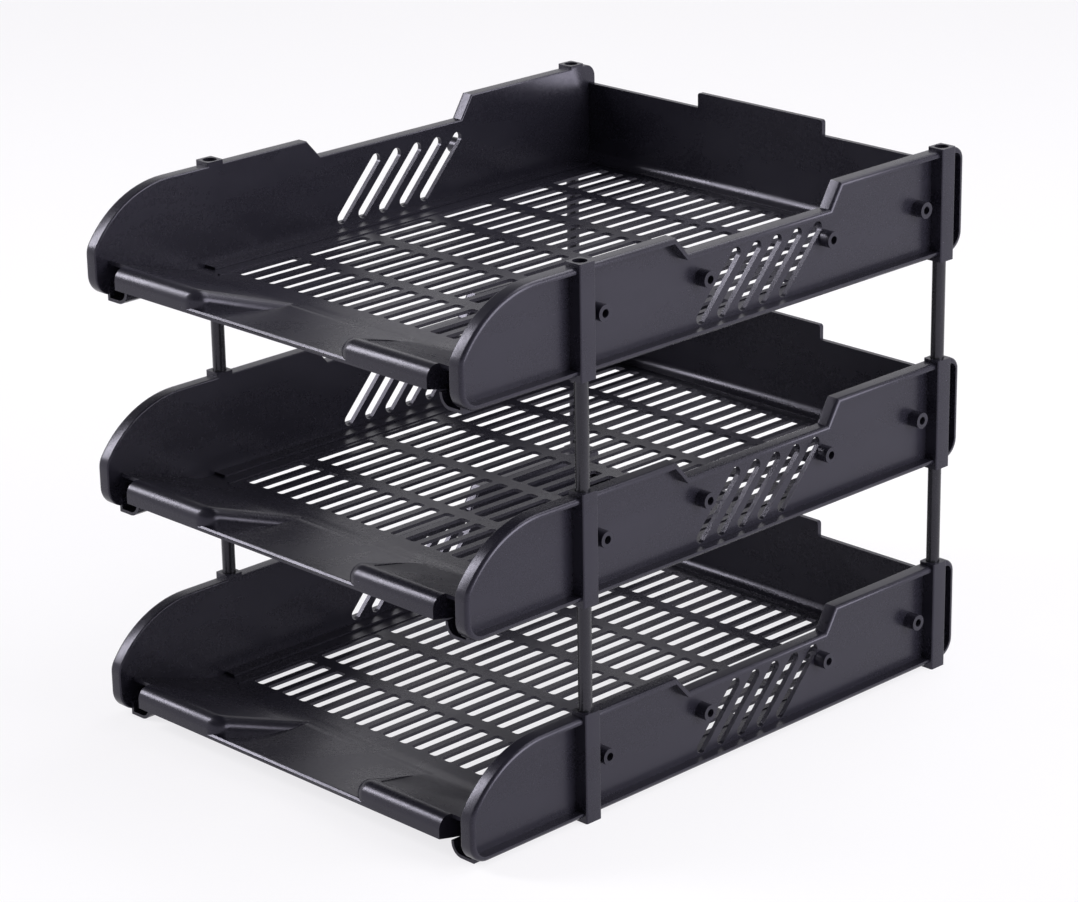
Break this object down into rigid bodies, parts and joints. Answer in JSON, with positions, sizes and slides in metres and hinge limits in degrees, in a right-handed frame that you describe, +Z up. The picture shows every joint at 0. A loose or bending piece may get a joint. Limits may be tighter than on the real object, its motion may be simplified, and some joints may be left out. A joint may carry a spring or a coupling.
{
  "type": "letter tray stack",
  "caption": "Open letter trays stacked on round posts, each with a slotted floor, curved side walls with slanted vents, a raised back and a lip with a finger scoop",
  "frame": {"origin": "middle of the underside, level with the lower faces of the bottom tray's post sockets", "axes": "+X to the right seen from the front, +Y from the front lip to the back panel, +Z up"},
  "size_m": [0.2594, 0.335, 0.2688],
  "materials": {
    "black_plastic": "satin, fine moulded grain",
    "post_steel": "semi-gloss black enamel"
  },
  "bodies": {
    "root": {"bottom_floor": "black_plastic", "bottom_left_side": "black_plastic", "bottom_right_side": "black_plastic", "bottom_back": "black_plastic", "middle_floor": "black_plastic", "middle_left_side": "black_plastic", "middle_right_side": "black_plastic", "middle_back": "black_plastic", "top_floor": "black_plastic", "top_left_side": "black_plastic", "top_right_side": "black_plastic", "top_back": "black_plastic", "post_front_left_lower": "post_steel", "post_front_right_lower": "post_steel", "post_back_left_lower": "post_steel", "post_back_right_lower": "post_steel", "post_front_left_upper": "post_steel", "post_front_right_upper": "post_steel", "post_back_left_upper": "post_steel", "post_back_right_upper": "post_steel"}
  },
  "joints": []
}
